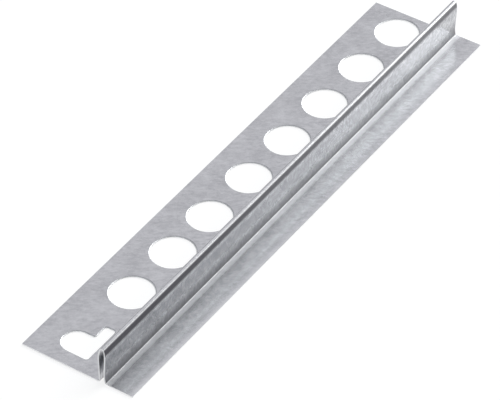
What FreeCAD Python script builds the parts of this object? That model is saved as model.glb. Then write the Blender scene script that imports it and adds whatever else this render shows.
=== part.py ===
import FreeCAD, Part
import math
import os
import Sketcher

# Shadow gap drywall bead: one strip of galvanised sheet, folded to an upstand between two flanges.
# Frame: X across the strip (the narrow flange at +X), Y along its length, Z up.
# The origin is the bottom centre of the whole piece. All sizes are in millimetres.

NODE = "shadow_gap_bead"

SIZES = {
    "bead_length": 203.4,       # the cut length, end to end
    "sheet": 0.5,               # thickness of the galvanised sheet
    "fixing_flange": 29.75,     # from the wide flange's edge to the upstand's face
    "gap_flange": 9.75,         # from the upstand's widest place to the narrow flange's edge
    "fold_height": 15.0,        # from the underside to the top of the folded upstand
    "fold_width": 3.0,          # over both legs at the upstand's widest place
    "crown_line": 1.8,          # from the upstand's square face to the middle of its top
    "crown_radius": 0.95,       # outside radius of the fold's top
    "flank_radius": 12.0,       # outside radius where each leg swells out below the top
    "fold_mouth": 1.45,         # clear slot between the two legs, at the foot of the leaning one
    "bend_radius": 0.5,         # inside radius from the wide flange into the upstand
    "gap_radius": 0.5,          # inside radius of the tight bend into the narrow flange
    "gap_sweep": 12.0,          # inside radius of the sweeps on both sides of that bend
    "gap_rise": 3.0,            # height of the sweep that the leaning leg ends in
    "gap_run": 2.0,             # reach of the sweep that the narrow flange starts with
    "hole_diameter": 15.0,      # round fixing holes of the wide flange
    "hole_line": 15.0,          # from the wide flange's edge to the line of hole centres
    "hole_pitch": 22.5,         # from hole to hole within one stroke of the punch
    "first_hole": 37.7,         # from the near end to the first hole centre
    "near_holes": 2,            # holes of the near stroke
    "stroke_step": 20.65,       # from the last hole of the near stroke to the first of the far one
    "end_web": 2.0,             # least web that the far stroke leaves at the far end
    "slot_near": 5.4,           # from the near end to the end cut-out's near side
    "slot_width": 9.5,          # width of the cut-out's rounded slot, along the strip
    "slot_length": 12.4,        # length of that slot, across the strip
    "notch_width": 3.9,         # narrow notch that runs on from the slot along the upstand
    "notch_reach": 5.7,         # how far the notch runs on past the slot
    "cut_corner": 0.9,          # corner radius of the cut-out
    "rim_roll": 0.4,            # rounding that the punch draws into the upper rim of every cut
    "roll_share": 0.8,          # most of the sheet's thickness that this rounding may take
}


def write_sizes(doc):
    sheet = doc.addObject("Spreadsheet::Sheet", "Sizes")
    for row, (name, size) in enumerate(SIZES.items(), start=1):
        sheet.set(f"A{row}", name)
        sheet.set(f"B{row}", str(size))
        sheet.setAlias(f"B{row}", name)
    doc.recompute()


def new_sketch(body, name, plane_role):
    sketch = body.newObject("Sketcher::SketchObject", name)
    plane = next(item for item in body.Origin.OriginFeatures if item.Role == plane_role)
    sketch.AttachmentSupport = [(plane, "")]
    sketch.MapMode = "FlatFace"
    return sketch


def point(x, y):
    return FreeCAD.Vector(x, y, 0)


def line(sketch, start, end):
    return sketch.addGeometry(Part.LineSegment(point(*start), point(*end)), False)


def arc(sketch, centre, radius, start_degrees, end_degrees):
    circle = Part.Circle(point(*centre), FreeCAD.Vector(0, 0, 1), radius)
    edge = Part.ArcOfCircle(circle, math.radians(start_degrees), math.radians(end_degrees))
    return sketch.addGeometry(edge, False)


def drive(sketch, name, expression, *constraint):
    """Add a dimension to the sketch and bind it to the sheet."""
    index = sketch.addConstraint(Sketcher.Constraint(*constraint))
    sketch.renameConstraint(index, name)
    sketch.setExpression(f"Constraints.{name}", expression)


START = 1
END = 2
CENTRE = 3
ORIGIN = (-1, START)
X_AXIS = -1
EDGE_TOLERANCE = 1e-3

HALF_WIDTH = "((Sizes.fixing_flange + Sizes.fold_width + Sizes.gap_flange) / 2)"
FAR_FIRST = "(Sizes.first_hole + (Sizes.near_holes - 1) * Sizes.hole_pitch + Sizes.stroke_step)"
FAR_ROOM = f"(Sizes.bead_length - {FAR_FIRST} - Sizes.hole_diameter / 2 - Sizes.end_web)"


def half_width():
    return (SIZES["fixing_flange"] + SIZES["fold_width"] + SIZES["gap_flange"]) / 2


def draw_section(body):
    """Closed section of the folded sheet: wide flange, hairpin upstand, narrow flange."""
    size = SIZES
    sheet = size["sheet"]
    bend = size["bend_radius"]
    gap = size["gap_radius"]
    sweep = size["gap_sweep"]
    crown = size["crown_radius"]
    flank = size["flank_radius"]
    crown_line = size["crown_line"]
    overhang = size["fold_width"] - crown_line
    edge = half_width()
    face = size["fixing_flange"] - edge
    foot = sheet + bend
    back_foot = face + size["fold_mouth"] + 2 * sheet
    run_turn = math.asin(size["gap_run"] / sweep)
    bend_height = sheet + sweep - (sweep - gap) * math.cos(run_turn)
    gap_foot = bend_height + size["gap_rise"]

    top = (face + crown_line, size["fold_height"] - crown)
    face_turn = math.acos((flank - crown_line) / (flank - crown))
    back_turn = math.acos((flank - overhang) / (flank - crown))
    face_swell = top[1] - (flank - crown) * math.sin(face_turn)
    back_swell = top[1] - (flank - crown) * math.sin(back_turn)
    face_slope = math.degrees(face_turn)
    back_slope = math.degrees(back_turn)
    lean_angle = math.atan2(face + size["fold_width"] - back_foot, back_swell - gap_foot)
    lean = math.degrees(lean_angle)
    face_flank = (face + flank, face_swell)
    back_flank = (face + size["fold_width"] - flank, back_swell)
    fixing_bend = (face - bend, foot)
    rise_turn = math.asin(size["gap_rise"] / sweep - math.sin(lean_angle))
    rise_slope = math.degrees(rise_turn)
    run_slope = math.degrees(run_turn)
    rise_centre = back_foot - sheet + (sweep + sheet) * math.cos(lean_angle)
    bend_centre = rise_centre - (sweep - gap) * math.cos(rise_turn)
    gap_bend = (bend_centre, bend_height)
    gap_rise = (rise_centre, bend_height + (sweep - gap) * math.sin(rise_turn))
    gap_run = (bend_centre + (sweep - gap) * math.sin(run_turn), sheet + sweep)

    def on_lean(centre, radius, side):
        """Point of a circle where the leaning leg touches it."""
        across = side * radius * math.cos(lean_angle)
        down = side * radius * math.sin(lean_angle)
        return (centre[0] + across, centre[1] - down)

    sketch = new_sketch(body, "Section", "XZ_Plane")
    fixing_under = line(sketch, (-edge, 0), (fixing_bend[0], 0))
    fixing_outer = arc(sketch, fixing_bend, bend + sheet, 270, 360)
    face_inside = line(sketch, (face + sheet, foot), (face + sheet, face_swell))
    face_flank_in = arc(sketch, face_flank, flank - sheet, 180 - face_slope, 180)
    crown_in = arc(sketch, top, crown - sheet, back_slope, 180 - face_slope)
    back_flank_in = arc(sketch, back_flank, flank - sheet, -lean, back_slope)
    back_inside = line(sketch, on_lean(back_flank, flank - sheet, 1), on_lean(gap_rise, sweep + sheet, -1))
    rise_outer = arc(sketch, gap_rise, sweep + sheet, 180 - lean, 180 + rise_slope)
    gap_outer = arc(sketch, gap_bend, gap + sheet, 180 + rise_slope, 270 - run_slope)
    run_outer = arc(sketch, gap_run, sweep + sheet, 270 - run_slope, 270)
    gap_under = line(sketch, (gap_run[0], 0), (edge, 0))
    gap_edge = line(sketch, (edge, 0), (edge, sheet))
    gap_top = line(sketch, (edge, sheet), (gap_run[0], sheet))
    run_inner = arc(sketch, gap_run, sweep, 270 - run_slope, 270)
    gap_inner = arc(sketch, gap_bend, gap, 180 + rise_slope, 270 - run_slope)
    rise_inner = arc(sketch, gap_rise, sweep, 180 - lean, 180 + rise_slope)
    back_outside = line(sketch, on_lean(gap_rise, sweep, -1), on_lean(back_flank, flank, 1))
    back_flank_out = arc(sketch, back_flank, flank, -lean, back_slope)
    crown_out = arc(sketch, top, crown, back_slope, 180 - face_slope)
    face_flank_out = arc(sketch, face_flank, flank, 180 - face_slope, 180)
    face_outside = line(sketch, (face, face_swell), (face, foot))
    fixing_inner = arc(sketch, fixing_bend, bend, 270, 360)
    fixing_top = line(sketch, (fixing_bend[0], sheet), (-edge, sheet))
    fixing_edge = line(sketch, (-edge, sheet), (-edge, 0))

    smooth_joints = [
        (fixing_under, END, fixing_outer, START),
        (fixing_outer, END, face_inside, START),
        (face_inside, END, face_flank_in, END),
        (face_flank_in, START, crown_in, END),
        (crown_in, START, back_flank_in, END),
        (back_flank_in, START, back_inside, START),
        (back_inside, END, rise_outer, START),
        (rise_outer, END, gap_outer, START),
        (gap_outer, END, run_outer, START),
        (run_outer, END, gap_under, START),
        (gap_top, END, run_inner, END),
        (run_inner, START, gap_inner, END),
        (gap_inner, START, rise_inner, END),
        (rise_inner, START, back_outside, START),
        (back_outside, END, back_flank_out, START),
        (back_flank_out, END, crown_out, START),
        (crown_out, END, face_flank_out, START),
        (face_flank_out, END, face_outside, START),
        (face_outside, END, fixing_inner, END),
        (fixing_inner, START, fixing_top, START),
    ]
    for joint in smooth_joints:
        sketch.addConstraint(Sketcher.Constraint("Tangent", *joint))
    corners = [
        (gap_under, END, gap_edge, START),
        (gap_edge, END, gap_top, START),
        (fixing_top, END, fixing_edge, START),
        (fixing_edge, END, fixing_under, START),
        (fixing_outer, CENTRE, fixing_inner, CENTRE),
        (crown_out, CENTRE, crown_in, CENTRE),
        (gap_outer, CENTRE, gap_inner, CENTRE),
        (rise_outer, CENTRE, rise_inner, CENTRE),
        (run_outer, CENTRE, run_inner, CENTRE),
    ]
    for corner in corners:
        sketch.addConstraint(Sketcher.Constraint("Coincident", *corner))
    for level in (fixing_under, fixing_top, gap_under, gap_top):
        sketch.addConstraint(Sketcher.Constraint("Horizontal", level))
    for upright in (fixing_edge, gap_edge, face_outside, face_inside):
        sketch.addConstraint(Sketcher.Constraint("Vertical", upright))
    for underside in (fixing_under, gap_under):
        sketch.addConstraint(Sketcher.Constraint("PointOnObject", underside, START, X_AXIS))
    sketch.addConstraint(Sketcher.Constraint("Parallel", back_inside, back_outside))

    drive(sketch, "fixing_reach", HALF_WIDTH, "DistanceX", fixing_under, START, *ORIGIN, edge)
    drive(sketch, "gap_reach", HALF_WIDTH, "DistanceX", *ORIGIN, gap_under, END, edge)
    drive(sketch, "flange", "Sizes.fixing_flange",
          "DistanceX", fixing_under, START, face_outside, START, size["fixing_flange"])
    drive(sketch, "bend_inside", "Sizes.bend_radius", "Radius", fixing_inner, bend)
    drive(sketch, "bend_outside", "Sizes.bend_radius + Sizes.sheet", "Radius", fixing_outer, bend + sheet)
    drive(sketch, "gap_bend_inside", "Sizes.gap_radius", "Radius", gap_inner, gap)
    drive(sketch, "gap_bend_outside", "Sizes.gap_radius + Sizes.sheet", "Radius", gap_outer, gap + sheet)
    for name, curve in (("rise_sweep", rise_inner), ("run_sweep", run_inner)):
        drive(sketch, name, "Sizes.gap_sweep", "Radius", curve, sweep)
    drive(sketch, "rise", "Sizes.gap_rise",
          "DistanceY", rise_inner, END, rise_inner, START, size["gap_rise"])
    drive(sketch, "run", "Sizes.gap_run", "DistanceX", run_inner, START, run_inner, END, size["gap_run"])
    drive(sketch, "crown_outside", "Sizes.crown_radius", "Radius", crown_out, crown)
    drive(sketch, "crown_inside", "Sizes.crown_radius - Sizes.sheet", "Radius", crown_in, crown - sheet)
    for name, swelling in (("face_flank", face_flank_out), ("back_flank", back_flank_out)):
        drive(sketch, name, "Sizes.flank_radius", "Radius", swelling, flank)
    for name, swelling in (("face_flank_inside", face_flank_in), ("back_flank_inside", back_flank_in)):
        drive(sketch, name, "Sizes.flank_radius - Sizes.sheet", "Radius", swelling, flank - sheet)
    drive(sketch, "crown_across", "Sizes.crown_line",
          "DistanceX", face_outside, START, crown_out, CENTRE, crown_line)
    drive(sketch, "fold_across", "Sizes.flank_radius - Sizes.fold_width",
          "DistanceX", back_flank_out, CENTRE, face_outside, START, flank - size["fold_width"])
    drive(sketch, "crown_height", "Sizes.fold_height - Sizes.crown_radius",
          "DistanceY", *ORIGIN, crown_out, CENTRE, top[1])
    drive(sketch, "mouth", "Sizes.fold_mouth",
          "DistanceX", face_inside, START, back_inside, END, size["fold_mouth"])
    return sketch


def pad_section(body):
    section = draw_section(body)
    strip = body.newObject("PartDesign::Pad", "FoldedStrip")
    strip.Profile = section
    strip.SideType = "Symmetric"
    strip.setExpression("Length", "Sizes.bead_length")


def cut_through(body, name, sketch):
    """Punch the sketch through the flange, above and below its plane."""
    pocket = body.newObject("PartDesign::Pocket", name)
    pocket.Profile = sketch
    pocket.Type = "ThroughAll"
    pocket.SideType = "Symmetric"
    return pocket


def punch_holes(body, name, first, first_expression, count_expression):
    """One stroke of the punch: a row of round holes along the wide flange."""
    size = SIZES
    centre = (size["hole_line"] - half_width(), first - size["bead_length"] / 2)
    sketch = new_sketch(body, f"{name}Outline", "XY_Plane")
    circle = Part.Circle(point(*centre), FreeCAD.Vector(0, 0, 1), size["hole_diameter"] / 2)
    hole = sketch.addGeometry(circle, False)
    drive(sketch, "diameter", "Sizes.hole_diameter", "Diameter", hole, size["hole_diameter"])
    drive(sketch, "across", f"Sizes.hole_line - {HALF_WIDTH}",
          "DistanceX", *ORIGIN, hole, CENTRE, centre[0])
    drive(sketch, "along", f"{first_expression} - Sizes.bead_length / 2",
          "DistanceY", *ORIGIN, hole, CENTRE, centre[1])
    pocket = cut_through(body, f"{name}First", sketch)
    row = body.newObject("PartDesign::LinearPattern", name)
    row.Originals = [pocket]
    row.Direction = (sketch, ["V_Axis"])
    row.Mode = "Spacing"
    row.setExpression("Offset", "Sizes.hole_pitch")
    row.setExpression("Occurrences", count_expression)
    body.Tip = row
    return row


def draw_cut_out(body):
    """End cut-out: a slot with one rounded end, and a notch that runs on beside the upstand."""
    size = SIZES
    corner = size["cut_corner"]
    slot_radius = size["slot_width"] / 2
    middle = size["hole_line"] - half_width()
    right = middle + size["slot_length"] / 2
    notch_left = right - size["notch_width"]
    round_end = middle - size["slot_length"] / 2 + slot_radius
    near = size["slot_near"] - size["bead_length"] / 2
    far = near + size["slot_width"]
    notch_end = far + size["notch_reach"]

    sketch = new_sketch(body, "CutOutOutline", "XY_Plane")
    near_side = line(sketch, (round_end, near), (right - corner, near))
    near_corner = arc(sketch, (right - corner, near + corner), corner, 270, 360)
    right_side = line(sketch, (right, near + corner), (right, notch_end - corner))
    end_right = arc(sketch, (right - corner, notch_end - corner), corner, 0, 90)
    notch_top = line(sketch, (right - corner, notch_end), (notch_left + corner, notch_end))
    end_left = arc(sketch, (notch_left + corner, notch_end - corner), corner, 90, 180)
    notch_side = line(sketch, (notch_left, notch_end - corner), (notch_left, far + corner))
    inner_corner = arc(sketch, (notch_left - corner, far + corner), corner, 270, 360)
    far_side = line(sketch, (notch_left - corner, far), (round_end, far))
    slot_end = arc(sketch, (round_end, near + slot_radius), slot_radius, 90, 270)

    smooth_joints = [
        (near_side, END, near_corner, START),
        (near_corner, END, right_side, START),
        (right_side, END, end_right, START),
        (end_right, END, notch_top, START),
        (notch_top, END, end_left, START),
        (end_left, END, notch_side, START),
        (notch_side, END, inner_corner, END),
        (inner_corner, START, far_side, START),
        (far_side, END, slot_end, START),
        (slot_end, END, near_side, START),
    ]
    for joint in smooth_joints:
        sketch.addConstraint(Sketcher.Constraint("Tangent", *joint))
    for across in (near_side, notch_top, far_side):
        sketch.addConstraint(Sketcher.Constraint("Horizontal", across))
    for along in (right_side, notch_side):
        sketch.addConstraint(Sketcher.Constraint("Vertical", along))
    for rounded in (end_right, end_left, inner_corner):
        sketch.addConstraint(Sketcher.Constraint("Equal", near_corner, rounded))

    hole_line = f"(Sizes.hole_line - {HALF_WIDTH})"
    drive(sketch, "corner", "Sizes.cut_corner", "Radius", near_corner, corner)
    drive(sketch, "slot_radius", "Sizes.slot_width / 2", "Radius", slot_end, slot_radius)
    drive(sketch, "right", f"{hole_line} + Sizes.slot_length / 2",
          "DistanceX", *ORIGIN, right_side, START, right)
    drive(sketch, "round_end", f"{hole_line} - Sizes.slot_length / 2 + Sizes.slot_width / 2",
          "DistanceX", *ORIGIN, slot_end, CENTRE, round_end)
    drive(sketch, "notch_width", "Sizes.notch_width",
          "DistanceX", notch_side, START, right_side, END, size["notch_width"])
    drive(sketch, "near", "Sizes.slot_near - Sizes.bead_length / 2",
          "DistanceY", *ORIGIN, near_side, START, near)
    drive(sketch, "notch_reach", "Sizes.notch_reach",
          "DistanceY", far_side, START, notch_top, START, size["notch_reach"])
    return sketch


def roll_rims(body):
    """Round the upper rim of every hole and of the cut-out, as the punch draws it down."""
    size = SIZES
    half_length = size["bead_length"] / 2
    flange_end = size["fixing_flange"] - half_width() - size["bend_radius"]
    inside = FreeCAD.BoundBox(-half_width(), -half_length, 0, flange_end, half_length, size["sheet"])
    inside.enlarge(-EDGE_TOLERANCE)
    punched = body.Tip
    rims = []
    for number, edge in enumerate(punched.Shape.Edges, start=1):
        box = edge.BoundBox
        on_top = abs(box.ZMin - size["sheet"]) < EDGE_TOLERANCE and box.ZLength < EDGE_TOLERANCE
        within = inside.XMin < box.XMin and box.XMax < inside.XMax
        clear_of_ends = inside.YMin < box.YMin and box.YMax < inside.YMax
        if on_top and within and clear_of_ends:
            rims.append(f"Edge{number}")
    rolled = body.newObject("PartDesign::Fillet", "RolledRims")
    rolled.Base = (punched, rims)
    rolled.setExpression("Radius", "min(Sizes.rim_roll; Sizes.roll_share * Sizes.sheet)")


def build_bead(doc):
    size = SIZES
    body = doc.addObject("PartDesign::Body", "Bead")
    body.Label = NODE
    pad_section(body)
    doc.recompute()
    plain_volume = body.Shape.Volume
    far_first = size["first_hole"] + (size["near_holes"] - 1) * size["hole_pitch"] + size["stroke_step"]
    far_count = f"floor({FAR_ROOM} / Sizes.hole_pitch) + 1"
    near_row = punch_holes(body, "NearHoles", size["first_hole"], "Sizes.first_hole", "Sizes.near_holes")
    far_row = punch_holes(body, "FarHoles", far_first, FAR_FIRST, far_count)
    doc.recompute()
    cut_through(body, "EndCutOut", draw_cut_out(body))
    doc.recompute()
    hole_count = near_row.Occurrences + far_row.Occurrences
    cut_volume = plain_volume - body.Shape.Volume
    hole_volume = hole_count * math.pi * (size["hole_diameter"] / 2) ** 2 * size["sheet"]
    if cut_volume <= hole_volume:
        raise RuntimeError("the holes or the end cut-out did not cut the flange")
    roll_rims(body)
    doc.recompute()
    return body


def check_document(doc, body):
    for item in doc.Objects:
        if "Invalid" in item.State or "Error" in item.State:
            raise RuntimeError(f"{item.Label} did not build: {item.State}")
    shape = body.Shape
    if shape.isNull() or not shape.isValid() or len(shape.Solids) != 1:
        raise RuntimeError("the bead is not one valid solid")


doc = FreeCAD.newDocument("ShadowGapBead")
write_sizes(doc)
bead = build_bead(doc)
check_document(doc, bead)
os.makedirs("parts", exist_ok=True)
bead.Shape.exportStep(os.path.join("parts", f"{NODE}.step"))
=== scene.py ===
import bmesh
import bpy
import math
from collections import namedtuple
from mathutils import Euler, Matrix, Vector


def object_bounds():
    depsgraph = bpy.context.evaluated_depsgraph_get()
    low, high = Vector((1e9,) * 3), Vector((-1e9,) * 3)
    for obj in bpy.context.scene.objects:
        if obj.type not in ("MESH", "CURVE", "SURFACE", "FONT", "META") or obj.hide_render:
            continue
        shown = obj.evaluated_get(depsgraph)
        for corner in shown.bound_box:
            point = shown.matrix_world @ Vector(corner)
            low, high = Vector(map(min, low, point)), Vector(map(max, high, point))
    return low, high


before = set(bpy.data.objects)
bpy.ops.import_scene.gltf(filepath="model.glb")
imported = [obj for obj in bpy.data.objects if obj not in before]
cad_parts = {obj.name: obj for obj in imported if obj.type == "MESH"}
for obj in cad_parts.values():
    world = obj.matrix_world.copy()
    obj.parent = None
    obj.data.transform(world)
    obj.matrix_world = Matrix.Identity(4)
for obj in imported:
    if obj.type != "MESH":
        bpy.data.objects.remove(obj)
cad_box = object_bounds()

# Shadow gap drywall bead: one strip of galvanised sheet, seen from its near end and its narrow flange.
# X runs across the strip, Y along it and Z up. The bead lies on its two flanges with the fold upwards.

MM = 0.001
BEAD = "shadow_gap_bead"

# Camera: lens and sensor in mm, place and clipping in metres, turn in degrees about X, Y and Z.
LENS = 249.26
SENSOR = 36.0
EYE = Vector((0.48528, -0.69306, 0.75247))
EYE_TURN = (48.1557, 0.9645, 34.4087)
CLIP_NEAR = 0.01
CLIP_FAR = 50.0

# Sky: an even room with soft glows. A glow is full out to its core and gone at its fade, in degrees.
Glow = namedtuple("Glow", "azimuth elevation core fade level colour")
ROOM_LEVEL = 0.35
ROOM_COLOUR = (0.90, 0.945, 1.0, 1.0)
WALL_COLOUR = (0.978, 0.96, 1.0, 1.0)
WINDOW_COLOUR = (0.985, 1.0, 0.985, 1.0)
PALE_WALL = Glow(azimuth=115.0, elevation=47.0, core=15.0, fade=44.0, level=0.62, colour=WALL_COLOUR)
BACK_WINDOW = Glow(azimuth=77.0, elevation=24.6, core=8.0, fade=25.5, level=6.4, colour=WINDOW_COLOUR)
SIDE_WINDOW = Glow(azimuth=45.0, elevation=24.0, core=6.0, fade=22.5, level=1.6, colour=WINDOW_COLOUR)

# Floor: half its side in metres, a hair's gap under the bead, and how white it is seen and painted.
FLOOR_HALF = 3.0
FLOOR_DROP = 0.05 * MM
FLOOR_GLOW = 0.8
FLOOR_PAINT = (0.3, 0.3, 0.3, 1.0)

# Places on the bead in mm, from the box of the part and two insets.
FLANGE_EDGE, STRIP_END, FOLD_TOP = [reach / MM for reach in cad_box[1]]
SHEET = 0.5
BEND_INSET = 9.85
FADE_INSET = 6.7
BEND = FLANGE_EDGE - BEND_INSET
FAR_PART = STRIP_END - FADE_INSET
NEAR_PART = -FAR_PART

# Spangle of the zinc. Grains are per mm, and the three shares make up the tone.
Grain = namedtuple("Grain", "scale detail roughness")
CLOUDS = Grain(0.11, 2.0, 0.5)
MOTTLING = Grain(0.8, 3.0, 0.55)
POWDER = Grain(2.8, 2.0, 0.6)
CLOUD_SHARE = 0.3
MOTTLING_SHARE = 0.45
POWDER_SHARE = 0.25
MOTTLING_TURN = (0.0, 0.0, 0.6)
MOTTLING_STRETCH = (1.7, 0.75, 1.0)
TONES = (0.3, 0.7)
ZINC_DARK = (0.41, 0.41, 0.42, 1.0)
ZINC_LIGHT = (0.59, 0.59, 0.60, 1.0)

# Hairlines on the two upright legs: turn in radians, stretch in mm, and the noise at which a hair
# starts and is full.
Hairs = namedtuple("Hairs", "turn stretch start full")
HAIR = Grain(1.0, 2.0, 0.6)
STEEP_HAIRS = Hairs((-0.12, 0.0, 0.3), (0.6, 0.22, 2.2), 0.50, 0.60)
LEANING_HAIRS = Hairs((-0.6, 0.0, -0.2), (1.5, 0.22, 1.8), 0.51, 0.61)
HAIR_SHARE = 0.7
HAIR_ZINC = (0.79, 0.80, 0.82, 1.0)
# Darker zinc on the two legs is painted shade, and lighter zinc on the crest is a painted highlight.
LEGS = (0.8, 2.0, FOLD_TOP - 1.8, FOLD_TOP - 0.8)
LEG_SHADE_SHARE = 0.45
LEG_PAINTED_SHADE = (0.27, 0.28, 0.32, 1.0)
CREST = (FOLD_TOP - 1.8, FOLD_TOP - 0.8)
CREST_HIGHLIGHT_SHARE = 0.32
CREST_PAINTED_HIGHLIGHT = (0.68, 0.68, 0.69, 1.0)

# Painted shade on the leaning leg, in dark zinc with some added roughness: a band at its shoulder and a
# ragged one at its foot.
# A strength is given for the near part of the strip, then for the far part.
LEANING_SIDE = (BEND - 0.85, BEND - 0.5)
SHOULDER_FOOT = (FOLD_TOP - 3.5, FOLD_TOP - 2.1)
SHOULDER_HEAD = (FOLD_TOP - 0.85, FOLD_TOP)
SHOULDER_RISE = 0.6
SHOULDER_STRENGTH = (0.97, 0.72)
FOOT_LIMIT = (BEND - 0.26, BEND - 0.01)
FOOT_HEIGHT = (1.5, 8.4)
FOOT_RAGGED = Grain(0.45, 3.0, 0.6)
FOOT_SWAY = -4.0
FOOT_STRENGTH = (0.76, 0.58)
PAINTED_SHADE_ZINC = (0.058, 0.055, 0.066, 1.0)

# A line beside the tight bend with painted light and added roughness, the outer part of the narrow flange
# with painted light, and the bend's own crease.
PAINTED_LIGHT_LINE = (BEND - 0.03, BEND + 0.2, BEND + 0.8, BEND + 2.5)
PAINTED_LIGHT_LINE_CEILING = (0.7, 0.85)
PAINTED_LIGHT_LINE_SHARE = 0.55
PAINTED_LIGHT_LINE_ZINC = (0.92, 0.92, 0.93, 1.0)
OUTER = (BEND + 4.9, BEND + 6.9)
OUTER_FAR_PART = FAR_PART - 15.0
OUTER_STRENGTH = (0.48, 0.1)
OUTER_PAINTED_LIGHT_ZINC = (0.84, 0.84, 0.85, 1.0)
CREASE_ACROSS = (BEND - 0.4, BEND - 0.3, BEND, BEND + 0.2)
CREASE_HEIGHT = (0.55, 0.65, 1.0, 1.2)

# Sheared steel: how near to the strip's ends, and how high in the walls of the cuts.
CUT_ENDS = (STRIP_END - 0.04, STRIP_END - 0.01)
CUT_WALLS = (0.005, 0.02, 0.8 * SHEET, SHEET)
END_STEEL = (0.80, 0.80, 0.81, 1.0)
WALL_STEEL = (0.94, 0.94, 0.95, 1.0)

# Roughness of plain zinc, what is added to it elsewhere, and the relief of the grain.
GLOSS = (0.185, 0.225)
SHEARED_ROUGH = 0.4
PAINTED_LIGHT_LINE_ROUGH = 0.17
WORKED_ROUGH = 0.2
RELIEF_STRENGTH = 0.07
RELIEF_DEPTH = 0.01 * MM
HAIR_RELIEF = 0.4

# Colour sockets of a Mix node, and the middle value of a noise.
FIRST_COLOUR = 6
SECOND_COLOUR = 7
MIXED_COLOUR = 2
NOISE_MIDDLE = 0.5


def add_node(tree, kind, **settings):
    node = tree.nodes.new(kind)
    for name, value in settings.items():
        setattr(node, name, value)
    return node


def join(tree, source, target):
    """Link an output socket to an input socket."""
    tree.links.new(source, target)


def feed(tree, node, socket, value):
    """Give an input socket a plain value, or link it when the value is an output socket."""
    target = node.inputs[socket]
    if isinstance(value, bpy.types.NodeSocket):
        join(tree, value, target)
    else:
        target.default_value = value


def math_node(tree, operation, first, second=0.0, third=0.0):
    node = add_node(tree, "ShaderNodeMath", operation=operation)
    for socket, value in enumerate((first, second, third)):
        feed(tree, node, socket, value)
    return node.outputs[0]


def times(tree, first, second):
    return math_node(tree, "MULTIPLY", first, second)


def larger(tree, first, second):
    return math_node(tree, "MAXIMUM", first, second)


def ramp_between(tree, value, low, high, to_low=0.0, to_high=1.0):
    """Smooth step of a value from low to high."""
    node = add_node(tree, "ShaderNodeMapRange", interpolation_type="SMOOTHSTEP", clamp=True)
    for socket, number in (("Value", value), ("From Min", low), ("From Max", high),
                           ("To Min", to_low), ("To Max", to_high)):
        feed(tree, node, socket, number)
    return node.outputs["Result"]


def band(tree, value, low, full_low, full_high, high):
    """1 between the two full values, falling smoothly to 0 at the outer ones."""
    rising = ramp_between(tree, value, low, full_low)
    falling = ramp_between(tree, value, full_high, high, 1.0, 0.0)
    return times(tree, rising, falling)


def noise(tree, place, grain):
    node = add_node(tree, "ShaderNodeTexNoise", noise_dimensions="3D")
    for socket, value in (("Vector", place), ("Scale", grain.scale),
                          ("Detail", grain.detail), ("Roughness", grain.roughness)):
        feed(tree, node, socket, value)
    return node.outputs["Fac"]


def place_in_mm(tree, turn=(0.0, 0.0, 0.0), stretch=(1.0, 1.0, 1.0)):
    """Object coordinates in millimetres, turned and stretched for a directional grain."""
    coordinates = add_node(tree, "ShaderNodeTexCoord")
    mapping = add_node(tree, "ShaderNodeMapping", vector_type="TEXTURE")
    mapping.inputs["Rotation"].default_value = turn
    mapping.inputs["Scale"].default_value = [MM * share for share in stretch]
    join(tree, coordinates.outputs["Object"], mapping.inputs["Vector"])
    return mapping.outputs["Vector"]


def mix_colour(tree, share, first, second):
    node = add_node(tree, "ShaderNodeMix", data_type="RGBA", blend_type="MIX")
    feed(tree, node, "Factor", share)
    feed(tree, node, FIRST_COLOUR, first)
    feed(tree, node, SECOND_COLOUR, second)
    return node.outputs[MIXED_COLOUR]


def add_shaders(tree, first, second):
    node = add_node(tree, "ShaderNodeAddShader")
    join(tree, first, node.inputs[0])
    join(tree, second, node.inputs[1])
    return node.outputs[0]


def spangle(tree, place):
    """Plain hot-dip zinc: soft clouds, fine mottling and a powdery grain."""
    clouds = noise(tree, place, CLOUDS)
    mottling = noise(tree, place_in_mm(tree, MOTTLING_TURN, MOTTLING_STRETCH), MOTTLING)
    powder = noise(tree, place, POWDER)
    tone = times(tree, clouds, CLOUD_SHARE)
    tone = math_node(tree, "MULTIPLY_ADD", mottling, MOTTLING_SHARE, tone)
    tone = math_node(tree, "MULTIPLY_ADD", powder, POWDER_SHARE, tone)
    zinc = mix_colour(tree, ramp_between(tree, tone, *TONES), ZINC_DARK, ZINC_LIGHT)
    return zinc, mottling, powder


def strokes(tree, hairs):
    """Short fine hairlines in one direction."""
    lines = noise(tree, place_in_mm(tree, hairs.turn, hairs.stretch), HAIR)
    return ramp_between(tree, lines, hairs.start, hairs.full)


def brushed_legs_and_painted_light(tree, height, zinc):
    """Hairlines that lean both ways on the legs, which are darkened with painted shade, under a crest
    lightened with a painted highlight.
    """
    legs = band(tree, height, *LEGS)
    hairs = times(tree, larger(tree, strokes(tree, STEEP_HAIRS), strokes(tree, LEANING_HAIRS)), legs)
    zinc = mix_colour(tree, times(tree, legs, LEG_SHADE_SHARE), zinc, LEG_PAINTED_SHADE)
    zinc = mix_colour(tree, times(tree, hairs, HAIR_SHARE), zinc, HAIR_ZINC)
    zinc = mix_colour(tree, ramp_between(tree, height, *CREST, 0.0, CREST_HIGHLIGHT_SHARE), zinc, CREST_PAINTED_HIGHLIGHT)
    return zinc, hairs


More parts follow.
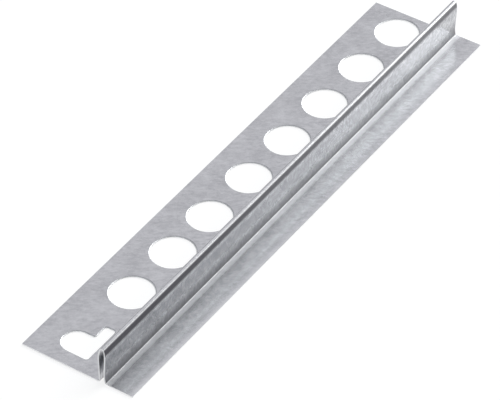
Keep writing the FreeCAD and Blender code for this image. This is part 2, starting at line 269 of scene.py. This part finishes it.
def painted_shade_bands(tree, place, across, along, height):
    """Mask of painted shade on the leaning leg: over the fold's shoulder and at the leg's foot."""
    lower_edge = math_node(tree, "SUBTRACT", height,
                           ramp_between(tree, along, NEAR_PART, FAR_PART, 0.0, SHOULDER_RISE))
    shoulder = times(tree, ramp_between(tree, lower_edge, *SHOULDER_FOOT),
                     ramp_between(tree, height, *SHOULDER_HEAD, 1.0, 0.0))
    shoulder = times(tree, shoulder, ramp_between(tree, along, NEAR_PART, FAR_PART, *SHOULDER_STRENGTH))

    sway = math_node(tree, "SUBTRACT", noise(tree, place, FOOT_RAGGED), NOISE_MIDDLE)
    ragged_height = math_node(tree, "MULTIPLY_ADD", sway, FOOT_SWAY, height)
    foot = times(tree, ramp_between(tree, across, *FOOT_LIMIT, 1.0, 0.0),
                 ramp_between(tree, ragged_height, *FOOT_HEIGHT, 1.0, 0.0))
    foot = times(tree, foot, ramp_between(tree, along, NEAR_PART, FAR_PART, *FOOT_STRENGTH))
    return times(tree, ramp_between(tree, across, *LEANING_SIDE), larger(tree, shoulder, foot))


def galvanised_sheet():
    """Hot-dip zinc on thin sheet, with hairlines, painted shade and highlight on the fold, painted light on
    the narrow flange and bright sheared edges.
    """
    material = bpy.data.materials.new("galvanised_sheet_and_painted_light")
    material.use_nodes = True
    tree = material.node_tree
    tree.nodes.clear()
    shader = add_node(tree, "ShaderNodeBsdfPrincipled")
    output = add_node(tree, "ShaderNodeOutputMaterial")
    join(tree, shader.outputs["BSDF"], output.inputs["Surface"])
    shader.inputs["Metallic"].default_value = 1.0

    place = place_in_mm(tree)
    split = add_node(tree, "ShaderNodeSeparateXYZ")
    join(tree, place, split.inputs[0])
    across, along, height = split.outputs

    zinc, mottling, powder = spangle(tree, place)
    zinc, hairs = brushed_legs_and_painted_light(tree, height, zinc)
    # Painted shade: dark zinc over the leaning leg's shoulder and foot.
    painted_shade = painted_shade_bands(tree, place, across, along, height)
    zinc = mix_colour(tree, painted_shade, zinc, PAINTED_SHADE_ZINC)

    # On the narrow flange, painted light: a lighter line beside the bend, and a lighter outer part.
    painted_light_line = times(tree, band(tree, across, *PAINTED_LIGHT_LINE), ramp_between(tree, height, *PAINTED_LIGHT_LINE_CEILING, 1.0, 0.0))
    zinc = mix_colour(tree, times(tree, painted_light_line, PAINTED_LIGHT_LINE_SHARE), zinc, PAINTED_LIGHT_LINE_ZINC)
    outer_painted_light = times(tree, ramp_between(tree, across, *OUTER),
                  ramp_between(tree, along, NEAR_PART, OUTER_FAR_PART, *OUTER_STRENGTH))
    zinc = mix_colour(tree, outer_painted_light, zinc, OUTER_PAINTED_LIGHT_ZINC)
    crease = times(tree, band(tree, across, *CREASE_ACROSS), band(tree, height, *CREASE_HEIGHT))

    # Sheared steel shows at the two ends and in the walls and rims of the cuts.
    ends = ramp_between(tree, math_node(tree, "ABSOLUTE", along), *CUT_ENDS)
    walls = band(tree, height, *CUT_WALLS)
    colour = mix_colour(tree, ends, zinc, END_STEEL)
    colour = mix_colour(tree, walls, colour, WALL_STEEL)
    join(tree, colour, shader.inputs["Base Color"])

    rough = ramp_between(tree, mottling, *TONES, *GLOSS)
    for part, added in ((larger(tree, ends, walls), SHEARED_ROUGH), (painted_light_line, PAINTED_LIGHT_LINE_ROUGH),
                        (larger(tree, painted_shade, crease), WORKED_ROUGH)):
        rough = math_node(tree, "MULTIPLY_ADD", part, added, rough)
    join(tree, rough, shader.inputs["Roughness"])

    bump = add_node(tree, "ShaderNodeBump")
    bump.inputs["Strength"].default_value = RELIEF_STRENGTH
    bump.inputs["Distance"].default_value = RELIEF_DEPTH
    join(tree, math_node(tree, "MULTIPLY_ADD", hairs, HAIR_RELIEF, powder), bump.inputs["Height"])
    join(tree, bump.outputs["Normal"], shader.inputs["Normal"])
    return material


def white_paint():
    """White to the camera and in reflections, and matt pale paint for the bead's shadow."""
    material = bpy.data.materials.new("floor_white")
    material.use_nodes = True
    tree = material.node_tree
    tree.nodes.clear()
    path = add_node(tree, "ShaderNodeLightPath")
    seen = larger(tree, path.outputs["Is Camera Ray"], path.outputs["Is Glossy Ray"])
    seen = larger(tree, seen, path.outputs["Is Transmission Ray"])
    glow = add_node(tree, "ShaderNodeEmission")
    join(tree, times(tree, seen, FLOOR_GLOW), glow.inputs["Strength"])
    paint = add_node(tree, "ShaderNodeBsdfDiffuse")
    paint.inputs["Color"].default_value = FLOOR_PAINT
    output = add_node(tree, "ShaderNodeOutputMaterial")
    join(tree, add_shaders(tree, glow.outputs[0], paint.outputs[0]), output.inputs["Surface"])
    return material


def pale_floor():
    """Plain white floor under the bead."""
    plane = bmesh.new()
    bmesh.ops.create_grid(plane, x_segments=1, y_segments=1, size=FLOOR_HALF)
    bmesh.ops.translate(plane, verts=plane.verts, vec=(0.0, 0.0, -FLOOR_DROP))
    mesh = bpy.data.meshes.new("floor")
    plane.to_mesh(mesh)
    plane.free()
    mesh.materials.append(white_paint())
    floor = bpy.data.objects.new("floor", mesh)
    bpy.context.collection.objects.link(floor)


def towards(azimuth, elevation):
    """Direction from the bead, by degrees from +X towards +Y and degrees above the floor."""
    around = math.radians(azimuth)
    up = math.radians(elevation)
    return Vector((math.cos(around) * math.cos(up), math.sin(around) * math.cos(up), math.sin(up)))


def studio_sky():
    """Soft even light from all round, with a broad pale wall and two soft windows behind the bead."""
    world = bpy.data.worlds.new("studio_sky")
    world.use_nodes = True
    tree = world.node_tree
    tree.nodes.clear()
    coordinates = add_node(tree, "ShaderNodeTexCoord")
    room = add_node(tree, "ShaderNodeBackground")
    room.inputs["Color"].default_value = ROOM_COLOUR
    room.inputs["Strength"].default_value = ROOM_LEVEL
    light = room.outputs[0]
    for glow in (PALE_WALL, BACK_WINDOW, SIDE_WINDOW):
        facing = add_node(tree, "ShaderNodeVectorMath", operation="DOT_PRODUCT")
        join(tree, coordinates.outputs["Generated"], facing.inputs[0])
        facing.inputs[1].default_value = towards(glow.azimuth, glow.elevation)
        fade = math.cos(math.radians(glow.fade))
        core = math.cos(math.radians(glow.core))
        shine = add_node(tree, "ShaderNodeBackground")
        shine.inputs["Color"].default_value = glow.colour
        join(tree, ramp_between(tree, facing.outputs["Value"], fade, core, 0.0, glow.level),
             shine.inputs["Strength"])
        light = add_shaders(tree, light, shine.outputs[0])
    output = add_node(tree, "ShaderNodeOutputWorld")
    join(tree, light, output.inputs["Surface"])
    bpy.context.scene.world = world


def photo_camera():
    """Long lens from the near right, at the photograph's viewing angle."""
    camera = bpy.data.cameras.new("camera")
    camera.sensor_fit = "HORIZONTAL"
    camera.sensor_width = SENSOR
    camera.lens = LENS
    camera.clip_start = CLIP_NEAR
    camera.clip_end = CLIP_FAR
    holder = bpy.data.objects.new("camera", camera)
    turn = Euler([math.radians(angle) for angle in EYE_TURN])
    holder.matrix_world = Matrix.Translation(EYE) @ turn.to_matrix().to_4x4()
    bpy.context.collection.objects.link(holder)
    bpy.context.scene.camera = holder


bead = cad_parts[BEAD]
bead.data.materials.clear()
bead.data.materials.append(galvanised_sheet())
pale_floor()
studio_sky()
photo_camera()
bpy.context.scene.view_settings.view_transform = "Standard"
